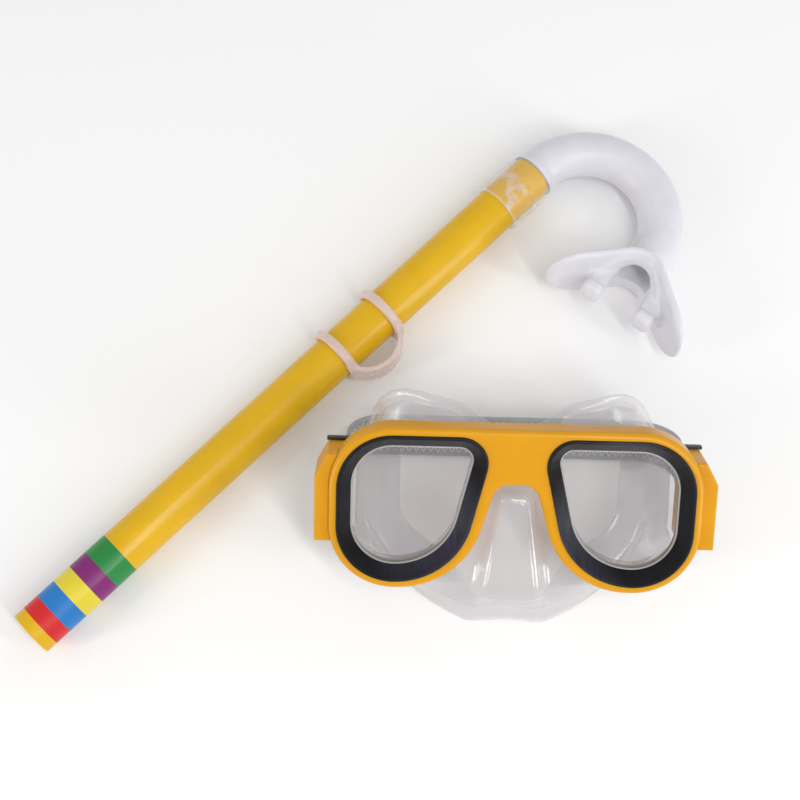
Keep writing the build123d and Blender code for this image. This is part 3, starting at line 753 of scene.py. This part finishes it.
class RibTree:
    """Geometry nodes that lay crossing ribs on both faces of a strap, along the line they are given."""

    def __init__(self):
        self.tree = bpy.data.node_groups.new("Strap Mesh Ribs", "GeometryNodeTree")
        sockets = self.tree.interface
        sockets.new_socket("Geometry", in_out="OUTPUT", socket_type="NodeSocketGeometry")
        sockets.new_socket("Geometry", in_out="INPUT", socket_type="NodeSocketGeometry")
        for name in ("Half Width", "Pitch", "Lean", "Offset", "Rib Radius"):
            sockets.new_socket(name, in_out="INPUT", socket_type="NodeSocketFloat")
        sockets.new_socket("Material", in_out="INPUT", socket_type="NodeSocketMaterial")
        self.given = self.node("NodeGroupInput").outputs
        self.path = self.node("GeometryNodeMeshToCurve", {"Mesh": self.given["Geometry"]}).outputs["Curve"]
        lines = self.on_both_faces(self.crossing_lines())
        section = self.node("GeometryNodeCurvePrimitiveCircle", {"Resolution": RIB_SIDES,
                                                                 "Radius": self.given["Rib Radius"]})
        solid = self.node("GeometryNodeCurveToMesh", {
            "Curve": lines, "Profile Curve": section.outputs["Curve"], "Fill Caps": True}).outputs["Mesh"]
        real = self.node("GeometryNodeRealizeInstances", {"Geometry": solid}).outputs[0]
        painted = self.node("GeometryNodeSetMaterial", {"Geometry": real, "Material": self.given["Material"]})
        self.node("NodeGroupOutput", {"Geometry": painted.outputs[0]})

    def node(self, kind, inputs=None, **settings):
        """A node of a kind, with its settings and then the values or links of its sockets."""
        made = self.tree.nodes.new(kind)
        for name, value in settings.items():
            setattr(made, name, value)
        for name, value in (inputs or {}).items():
            if isinstance(value, bpy.types.NodeSocket):
                self.tree.links.new(value, made.inputs[name])
            else:
                made.inputs[name].default_value = value
        return made

    def maths(self, operation, *values):
        return self.node("ShaderNodeMath", dict(enumerate(values)), operation=operation).outputs[0]

    def vector_maths(self, operation, **inputs):
        """A vector sum; its inputs are a first and a second vector, or a first one and a scale."""
        sockets = {"first": 0, "second": 1, "scale": "Scale"}
        return self.node("ShaderNodeVectorMath", {sockets[name]: value for name, value in inputs.items()},
                         operation=operation).outputs[0]

    def place(self, **inputs):
        """A place from its X, Y and Z; those not given are 0."""
        return self.node("ShaderNodeCombineXYZ", inputs).outputs[0]

    def crossing_lines(self):
        """Straight ribs on the flat: x runs along the strap, and y over its width."""
        reach = self.node("GeometryNodeCurveLength", {"Curve": self.path}).outputs["Length"]
        lean, pitch, high = self.given["Lean"], self.given["Pitch"], self.given["Half Width"]
        low = self.maths("MULTIPLY", high, -1.0)
        room = self.maths("SUBTRACT", reach, lean)
        gaps = self.maths("FLOOR", self.maths("DIVIDE", room, pitch))
        spare = self.maths("SUBTRACT", room, self.maths("MULTIPLY", gaps, pitch))
        starts = self.node("GeometryNodeMeshLine", {
            "Count": self.maths("ADD", gaps, 1.0),
            "Start Location": self.place(X=self.maths("MULTIPLY", spare, 0.5)),
            "Offset": self.place(X=pitch)}).outputs["Mesh"]
        ribs = self.node("GeometryNodeJoinGeometry")
        for first, second in ((low, high), (high, low)):
            rib = self.node("GeometryNodeMeshLine", {
                "Count": RIB_POINTS, "Start Location": self.place(Y=first),
                "Offset": self.place(X=lean, Y=second)}, mode="END_POINTS").outputs["Mesh"]
            laid = self.node("GeometryNodeInstanceOnPoints", {"Points": starts, "Instance": rib})
            self.tree.links.new(laid.outputs["Instances"], ribs.inputs[0])
        return self.node("GeometryNodeRealizeInstances", {"Geometry": ribs.outputs[0]}).outputs[0]

    def on_both_faces(self, flat):
        """The flat ribs bent along the path, once on each face of the strap, as curves."""
        place = self.node("ShaderNodeSeparateXYZ", {
            0: self.node("GeometryNodeInputPosition").outputs[0]}).outputs
        sample = self.node("GeometryNodeSampleCurve", {"Curves": self.path, "Length": place["X"]},
                           mode="LENGTH").outputs
        side = self.vector_maths("CROSS_PRODUCT", first=sample["Tangent"], second=(0.0, 0.0, 1.0))
        both = self.node("GeometryNodeJoinGeometry")
        for sign in (-1.0, 1.0):
            push = self.vector_maths("SCALE", first=side,
                                     scale=self.maths("MULTIPLY", self.given["Offset"], sign))
            base = self.vector_maths("ADD", first=sample["Position"], second=push)
            put = self.vector_maths("ADD", first=base, second=self.place(Z=place["Y"]))
            moved = self.node("GeometryNodeSetPosition", {"Geometry": flat, "Position": put})
            self.tree.links.new(moved.outputs[0], both.inputs[0])
        return self.node("GeometryNodeMeshToCurve", {"Mesh": both.outputs[0]}).outputs["Curve"]


def strap_ribs(tree, line, settings, material):
    """The ribs along a line, in the strap's own directions: points and faces."""
    mesh = bpy.data.meshes.new("strap_line")
    points = [(x, y, 0.0) for x, y in line]
    mesh.from_pydata(points, [(k, k + 1) for k in range(len(points) - 1)], [])
    piece = bpy.data.objects.new("strap_line", mesh)
    bpy.context.scene.collection.objects.link(piece)
    modifier = piece.modifiers.new("Ribs", "NODES")
    modifier.node_group = tree
    half = settings.width / 2 - settings.border + RIB_OVERLAP
    values = {"Half Width": half, "Pitch": settings.rib_pitch, "Lean": half * RIB_LEAN,
              "Offset": settings.thickness / 2 * PANEL_SHARE, "Rib Radius": settings.rib_radius,
              "Material": material}
    for item in tree.interface.items_tree:
        if item.name in values:
            modifier[item.identifier] = values[item.name]
    bpy.context.view_layer.update()
    depsgraph = bpy.context.evaluated_depsgraph_get()
    made = bpy.data.meshes.new_from_object(piece.evaluated_get(depsgraph))
    bpy.data.objects.remove(piece)
    points = np.array([vertex.co for vertex in made.vertices])
    return points, [tuple(face.vertices) for face in made.polygons]


def joined(*parts):
    """Several sets of points and faces as one."""
    points, faces, start = [], [], 0
    for some, others in parts:
        points.append(np.asarray(some, float).reshape(-1, 3))
        faces += [tuple(start + index for index in face) for face in others]
        start += len(some)
    return np.concatenate(points), faces


class SNORKEL_OT_strap(bpy.types.Operator):
    """Make the head strap: its rear band, the spans to the rollers, the turns round the rollers, the tails"""

    bl_idname = "snorkel.strap"
    bl_label = "Head Strap"

    def execute(self, context):
        settings = context.scene.snorkel_strap
        rgb = COLOURS["strap_grey"]
        vinyl = clear_vinyl("Strap Vinyl", rgb, clearness=0.35, gloss=0.3, edge_share=0.35, haze=0.12)
        rib_vinyl = clear_vinyl("Strap Rib Vinyl", shade(rgb, 1.5), clearness=0.1, gloss=0.25, edge_share=0.3)
        tree = RibTree().tree

        def strap_piece(name, line, body, replaced, ribs=True, widths=None):
            band = strap_band(line, settings, widths)
            parts = [band]
            if ribs:
                parts.append(strap_ribs(tree, line, settings, rib_vinyl))
            points, faces = joined(*parts)
            piece = finished(name, STRAP.to_row(points), faces, vinyl, body, replaced)
            piece.data.materials.append(rib_vinyl)
            for face in piece.data.polygons[len(band[1]):]:
                face.material_index = 1
            return piece

        strap_piece("strap_band", rear_line(settings), "head_strap", ["strap_rear_band"])
        radius = loop_radius(settings)
        travel = JOINTS["strap_adjust"]["range_m"][1] / MM
        for word, side in SIDES:
            span = strap_piece(f"{word}_span", spaced(span_points(side, settings), LINE_GAP), "mask",
                               [f"{word}_strap_span"])
            (SPAN_LENGTH - travel) / SPAN_LENGTH
            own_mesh(span)
            turn = [(side * (ROLLER_U - radius * cos(angle)), -radius * sin(angle))
                    for angle in np.linspace(0, pi, TURN_POINTS)]
            strap_piece(f"{word}_strap_turn", np.array(turn), "mask", [], ribs=False)
            tail_u = side * (ROLLER_U + radius)
            tail = spaced([(tail_u, LOOP_GAP), (tail_u, LOOP_GAP + TAIL_LENGTH)], TAIL_GAP)
            left = np.clip(TAIL_LENGTH + LOOP_GAP - tail[:, 1], 0, TAIL_ROUND)
            cut = TAIL_ROUND - np.sqrt(TAIL_ROUND ** 2 - (TAIL_ROUND - left) ** 2)
            strap_piece(f"{word}_tail", tail, f"{word}_tail", [f"{word}_strap_tail"],
                        widths=1 - cut / (settings.width / 2))
        return {"FINISHED"}


# ---------------------------------------------------------------- snorkel
MOUTH_ROOM = ((260, -110, -16), (345, 16, 24))   # the box that the mouthpiece is meshed in
SLEEVE_START = 272.9
SLEEVE_RADIUS = 11.6
SLEEVE_ROUND = 0.6
SLEEVE_FILLET = 1.0
SLEEVE_LIP = 0.35                          # height of the rounded lip round the sleeve's edge
LIP_PLACE = 1.2
LIP_SPREAD = 0.9
SHOULDER_START = 291.9
SHOULDER_END = 300.4
BEND_START = 298.4
BEND_RADIUS = 32.5
BEND_TURN = radians(172.8)
TUBE_RADIUS = 10.0
TUBE_FIT = 10.06                           # radius of the sleeve's and the keeper's seats on the tube
SEAT_GAP = 0.05                            # from the tube's end to the seat's
MOUTH_BORE = 7.5
OVERLAP = 1.0                              # how far one stretch of the moulding or its bore enters the next
NECK_LENGTH = 14.0
NECK_SINK = 3.0                            # how far the neck starts inside the bend
NECK_FILLET = 3.0
NECK_SPREAD = 3.0                          # how much wider each way the neck ends than it starts
NECK_ROUND = (9.9, 8.5)                    # radius of the neck's edges at its start and its end
PASSAGE_HALF = (8.5, 5.0)                  # half width and height of the air's passage at the neck's end
PASSAGE_ROUND = (7.4, 4.5)
PASSAGE_SINK = 2.0
STEP_HALF = 3.0                            # half the length bored through where the seat meets the bend
MOUTH_EDGE = 0.5
MOUTH_MARK = 7.6                           # from the end of the bend to the mouth_shield mount
SHIELD_APEX = 1.5                          # where the shield's two arms would meet
SHIELD_BEND = 11.0
SHIELD_THICK = 3.4
SHIELD_REACH = 34.0
SHIELD_HALF = 14.0
SHIELD_ROUND = 13.0
SHIELD_EDGE = 2.0
SHIELD_FILLET = 5.0
TAB_MIDDLE = 12.75
TAB_HALF = 4.25
TAB_END = 32.0
TAB_PLATE = (11.5, 2.5, 2.0)               # half length, half height and rounding of a tab's plate
TAB_RIDGE = (2.8, 5.0, 2.4)                # and of the ridge that the teeth hold
RIDGE_FILLET = 2.0
TAB_FILLET = 2.5
KEEPER_SPREAD = 13.5                       # from the keeper's middle to the middle of each ring
KEEPER_OUTER = 13.0
KEEPER_REACH = 20.5
KEEPER_WALL = 2.4
KEEPER_HALF = 6.5
KEEPER_SINK = 2.0                          # how far the wall's ends run into the rings
KEEPER_RING_HALF = 2.1
KEEPER_RING_ROUND = 1.3
KEEPER_WALL_ROUND = 1.0
KEEPER_FILLET = 2.2
KEEPER_EDGE = 0.4
KEEPER_ROOM = ((-18, -23, -15), (18, 15, 15))   # the box that the keeper is meshed in, from its middle

KEEPER_MIDDLE = SNORKEL.from_row(MOUNTS["keeper_slot"]["pos_m"])[0]
MOUTH_WAY = SNORKEL.axes @ np.array(MOUNTS["mouth_shield"]["axis"])
MOUTH_START = SNORKEL.from_row(MOUNTS["mouth_shield"]["pos_m"]) - MOUTH_MARK * MOUTH_WAY
MOUTH_SIDE = np.array([-MOUTH_WAY[1], MOUTH_WAY[0], 0.0]) / np.hypot(MOUTH_WAY[0], MOUTH_WAY[1])
MOUTH_UP = np.cross(MOUTH_WAY, MOUTH_SIDE)


def from_mouth(x, y, z):
    """How far places lie out of the bend's end, to the mouth's side and up."""
    gap = (x - MOUTH_START[0], y - MOUTH_START[1], z - MOUTH_START[2])
    return [sum(way[k] * gap[k] for k in range(3)) for way in (MOUTH_WAY, MOUTH_SIDE, MOUTH_UP)]


def sleeve_field(x, away):
    """Distance from the sleeve over the tube's end, which has a rounded lip."""
    grip = np.interp(x, (SLEEVE_START, SHOULDER_START, SHOULDER_END),
                     (SLEEVE_RADIUS, SLEEVE_RADIUS, TUBE_RADIUS))
    grip = grip + SLEEVE_LIP * np.exp(-((x - SLEEVE_START - LIP_PLACE) / LIP_SPREAD) ** 2)
    ends = np.maximum(SLEEVE_START - x, x - BEND_START - OVERLAP)
    return soft_max(away - grip, ends, SLEEVE_ROUND)


def arms_field(out, side):
    """Distance from the middle of the shield's two arms, negative behind it; an arc joins them."""
    centre = SHIELD_APEX + SHIELD_BEND * sqrt(2)
    return np.where(centre - out > abs(side), np.hypot(out - centre, side) - SHIELD_BEND,
                    (abs(side) - out + SHIELD_APEX) / sqrt(2))


def tabs_field(out, side, up):
    """Distance from the two bite tabs, each a plate with a ridge at its end."""
    shapes = []
    for half_length, half_height, rounding in (TAB_PLATE, TAB_RIDGE):
        middle = (out - TAB_END + half_length, abs(side) - TAB_MIDDLE, up)
        shapes.append(rounded_box(middle, (half_length, TAB_HALF, half_height), rounding))
    return soft_min(*shapes, RIDGE_FILLET)


def mouthpiece_field(x, y, z):
    """Distance from the sleeve, the bend, the neck, the shield and its bite tabs, all one moulding."""
    away = np.hypot(y, z)
    across = x - BEND_START
    turned = np.hypot(np.hypot(across, y + BEND_RADIUS) - BEND_RADIUS, z)
    end = (x - MOUTH_START[0]) * cos(BEND_TURN) - (y - MOUTH_START[1]) * sin(BEND_TURN)
    bend = np.maximum(turned - TUBE_RADIUS, np.maximum(-across, end))

    out, side, up = from_mouth(x, y, z)
    arms = arms_field(out, side)
    part = np.clip(out / NECK_LENGTH, -0.2, 1.0)
    neck = rounded_box((side, up), (TUBE_RADIUS + NECK_SPREAD * part, TUBE_RADIUS - part),
                       NECK_ROUND[0] + (NECK_ROUND[1] - NECK_ROUND[0]) * part)
    neck = np.maximum(neck, np.maximum(-out - NECK_SINK, -arms - SHIELD_THICK / 2))
    trim = rounded_box((out, up), (SHIELD_REACH, SHIELD_HALF), SHIELD_ROUND)
    shield = soft_max(abs(arms) - SHIELD_THICK / 2, trim, SHIELD_EDGE)

    solid = soft_min(soft_min(sleeve_field(x, away), bend, SLEEVE_FILLET), neck, NECK_FILLET)
    solid = soft_min(solid, shield, SHIELD_FILLET)
    solid = soft_min(solid, np.maximum(tabs_field(out, side, up), arms), TAB_FILLET)

    passage = rounded_box((side, up), (MOUTH_BORE + (PASSAGE_HALF[0] - MOUTH_BORE) * part,
                                       MOUTH_BORE + (PASSAGE_HALF[1] - MOUTH_BORE) * part),
                          PASSAGE_ROUND[0] + (PASSAGE_ROUND[1] - PASSAGE_ROUND[0]) * part)
    seat = np.maximum(away - TUBE_FIT, x - TUBE_LENGTH - SEAT_GAP)
    bore = np.minimum(seat, np.maximum(away - MOUTH_BORE, abs(x - TUBE_LENGTH) - STEP_HALF))
    bore = np.minimum(bore, np.maximum(turned - MOUTH_BORE, np.maximum(-across, end - OVERLAP)))
    passage = np.maximum(passage, np.maximum(-out - PASSAGE_SINK, out - NECK_LENGTH + OVERLAP))
    return soft_max(solid, -np.minimum(bore, passage), MOUTH_EDGE)


def keeper_field(x, y, z):
    """Distance from the keeper: two rings on the tube, and the wall that holds the strap beside it."""
    along = x - KEEPER_MIDDLE
    away = np.hypot(y, z)
    wall_middle = (TUBE_FIT + KEEPER_OUTER) / 2
    ring = rounded_box((away - wall_middle, abs(along) - KEEPER_SPREAD),
                       ((KEEPER_OUTER - TUBE_FIT) / 2, KEEPER_RING_HALF), KEEPER_RING_ROUND)
    half, sag = KEEPER_SPREAD + KEEPER_SINK, KEEPER_REACH - TUBE_RADIUS + KEEPER_SINK
    radius = (half ** 2 + sag ** 2) / (2 * sag)
    curve = np.hypot(along, y + KEEPER_REACH - radius) - radius + KEEPER_WALL / 2
    wall = rounded_box((curve, z), (KEEPER_WALL / 2, KEEPER_HALF), KEEPER_WALL_ROUND)
    wall = soft_max(wall, y + TUBE_RADIUS - KEEPER_SINK, CUT_ROUND)
    return soft_max(soft_min(ring, wall, KEEPER_FILLET), TUBE_FIT - away, KEEPER_EDGE)


class SNORKEL_OT_tube(bpy.types.Operator):
    """Finish the yellow tube and the coloured bands printed round its free end"""

    bl_idname = "snorkel.tube"
    bl_label = "Tube"

    def execute(self, context):
        rgb = context.scene.snorkel_tube.tube_colour
        paint_nodes(moulded_plastic("Tube Yellow", rgb, gloss=0.3, wear=0.1), "snorkel_tube")
        for name in BANDS:
            band = moulded_plastic(f"Band {name.title()}", COLOURS[f"band_{name}"], gloss=0.34,
                                   relief=0.00003, wear=0.15)
            paint_nodes(band, f"band_{name}")
        return {"FINISHED"}


class SNORKEL_OT_mouthpiece(bpy.types.Operator):
    """Make the frosted bend with its sleeve, shield and bite tabs"""

    bl_idname = "snorkel.mouthpiece"
    bl_label = "Bend and Mouthpiece"

    def execute(self, context):
        settings = context.scene.snorkel_tube
        rgb = settings.mouth_colour
        paint = Paint("Frosted Vinyl", **{"Specular IOR Level": 0.5, "Coat Weight": 0.25,
                                          "Coat Roughness": 0.3})
        cloud = paint.noise(60.0, 4.0)
        paint.set(base_color=paint.mix(cloud, shade(rgb, 0.95), shade(rgb, 1.05)))
        reach = paint.distance_along(ALONG, SNORKEL.to_row((0, 0, 0)))
        aside = paint.distance_along(SNORKEL.axes[1], SNORKEL.to_row((0, 0, 0)))
        on_tube = paint.ramp(reach - (TUBE_LENGTH - 0.5), (0.0, 1.0), (1.0, 0.0)) * \
            paint.ramp(aside + 20.0, (0.0, 0.0), (1.0, 1.0))
        smears = paint.ramp(paint.noise(150.0, 4.0, 0.6), (0.55, 0.0), (0.68, 1.0))
        lip = paint.ramp(reach - SLEEVE_START, (0.0, 1.0), (1.0, 0.0))
        frosted = 0.62 + cloud * 0.2 + paint.edge(0.3) * 0.2
        wetted = 0.05 + smears * 0.28 + lip * 0.3 + paint.edge(0.3) ** 3 * 0.6
        paint.set(alpha=frosted * (1 - on_tube) + wetted * on_tube)
        paint.set(roughness=0.34 + cloud * 0.14)
        paint.bump(paint.noise(260.0, 4.0) + cloud * 0.5, 0.25, 0.00015)
        moulding("frosted_mouthpiece", mouthpiece_field, *MOUTH_ROOM, settings.mouth_step, SNORKEL,
                 paint.material, "mouthpiece", "mouthpiece_frosted", ["elbow_mouthpiece"])
        return {"FINISHED"}


class SNORKEL_OT_keeper(bpy.types.Operator):
    """Make the keeper that clips the snorkel to the strap"""

    bl_idname = "snorkel.keeper"
    bl_label = "Strap Keeper"

    def execute(self, context):
        settings = context.scene.snorkel_tube
        vinyl = clear_vinyl("Keeper Vinyl", settings.keeper_colour, clearness=0.42, gloss=0.22,
                            edge_share=0.35, haze=0.12)
        low, high = np.array(KEEPER_ROOM) + (KEEPER_MIDDLE, 0, 0)
        moulding("strap_keeper", keeper_field, low, high, settings.keeper_step, SNORKEL, vinyl, "keeper",
                 "keeper_clear", ["snorkel_keeper"])
        return {"FINISHED"}


# ---------------------------------------------------------------- stage
LOOK_AT = (0.0159, -0.0047, 0.0)
LENS = 68.36
SENSOR = 36.0
FLOOR_HALF = 3.0
KEY_PLACE = (0.32, -0.42, 0.95)
KEY_SIZE = (0.07, 0.7)
STRIP_PLACE = (0.95, -0.45, 0.42)          # of the right side's light; the left one mirrors it
STRIP_SIZE = (0.12, 0.8)


def area_light(name, place, aim, size, power):
    """A soft rectangular light."""
    data = bpy.data.lights.new(name, "AREA")
    data.shape = "RECTANGLE"
    data.size, data.size_y = size
    data.energy = power
    light = bpy.data.objects.new(name, data)
    light.location = place
    light.rotation_euler = (Vector(aim) - Vector(place)).to_track_quat("-Z", "Y").to_euler()
    bpy.context.scene.collection.objects.link(light)


class SNORKEL_OT_stage(bpy.types.Operator):
    """Set up the camera, the pale floor and the soft lights"""

    bl_idname = "snorkel.stage"
    bl_label = "Stage"

    def execute(self, context):
        settings = context.scene.snorkel_stage
        back = Vector((0, -cos(settings.elevation), sin(settings.elevation)))
        up = Vector((0, sin(settings.elevation), cos(settings.elevation)))
        right = Vector((1, 0, 0))
        turned_right = right * cos(settings.roll) + up * sin(settings.roll)
        turned_up = up * cos(settings.roll) - right * sin(settings.roll)
        data = bpy.data.cameras.new("camera")
        data.lens = LENS
        data.sensor_width = SENSOR
        camera = bpy.data.objects.new("camera", data)
        bpy.context.scene.collection.objects.link(camera)
        turn = Matrix((turned_right, turned_up, back)).transposed().to_4x4()
        camera.matrix_world = Matrix.Translation(Vector(LOOK_AT) + back * settings.distance) @ turn
        bpy.context.scene.camera = camera

        mesh = bpy.data.meshes.new("floor")
        corners = ((-1, -1), (1, -1), (1, 1), (-1, 1))
        mesh.from_pydata([(x * FLOOR_HALF, y * FLOOR_HALF, 0) for x, y in corners], [], [(0, 1, 2, 3)])
        floor = bpy.data.objects.new("floor", mesh)
        bpy.context.scene.collection.objects.link(floor)
        paint = Paint("Floor", **{"Roughness": 0.7, "Specular IOR Level": 0.2})
        tone = paint.noise(4.0, 2.0)
        paint.set(base_color=paint.mix(tone, shade(settings.floor_colour, 0.99), settings.floor_colour[:]))
        mesh.materials.append(paint.material)

        world = bpy.data.worlds.new("studio")
        world.use_nodes = True
        background = world.node_tree.nodes["Background"]
        background.inputs["Color"].default_value = (1.0, 1.0, 1.0, 1.0)
        background.inputs["Strength"].default_value = settings.sky
        bpy.context.scene.world = world
        bpy.context.scene.view_settings.view_transform = "Standard"
        area_light("key", KEY_PLACE, LOOK_AT, KEY_SIZE, settings.key_power)
        for word, side in SIDES:
            place = (side * STRIP_PLACE[0], *STRIP_PLACE[1:])
            area_light(f"{word}_strip", place, LOOK_AT, STRIP_SIZE, settings.key_power)
        return {"FINISHED"}


# ---------------------------------------------------------------- panel
STEPS = ("stage", "front", "bezels", "lenses", "skirt", "buckles", "strap", "tube", "mouthpiece", "keeper")


class SNORKEL_PT_set(bpy.types.Panel):
    """Lists the set's pieces in the sidebar"""

    bl_idname = "SNORKEL_PT_set"
    bl_label = "Snorkelling Set"
    bl_space_type = "VIEW_3D"
    bl_region_type = "UI"
    bl_category = "Snorkelling Set"

    def draw(self, context):
        column = self.layout.column(align=True)
        for step in STEPS:
            column.operator(f"snorkel.{step}")


GROUPS = (("snorkel_mask", SnorkelMaskSettings), ("snorkel_strap", SnorkelStrapSettings),
          ("snorkel_tube", SnorkelTubeSettings), ("snorkel_stage", SnorkelStageSettings))
CLASSES = (SNORKEL_OT_front, SNORKEL_OT_bezels, SNORKEL_OT_lenses, SNORKEL_OT_skirt, SNORKEL_OT_buckles,
           SNORKEL_OT_strap, SNORKEL_OT_tube, SNORKEL_OT_mouthpiece, SNORKEL_OT_keeper,
           SNORKEL_OT_stage, SNORKEL_PT_set)


def register():
    for name, group in GROUPS:
        bpy.utils.register_class(group)
        setattr(bpy.types.Scene, name, bpy.props.PointerProperty(type=group))
    for item in CLASSES:
        bpy.utils.register_class(item)


def unregister():
    for item in reversed(CLASSES):
        bpy.utils.unregister_class(item)
    for name, group in reversed(GROUPS):
        delattr(bpy.types.Scene, name)
        bpy.utils.unregister_class(group)


def main():
    """Build the whole set in order."""
    register()
    for step in STEPS:
        getattr(bpy.ops.snorkel, step)()


if __name__ == "__main__":
    main()
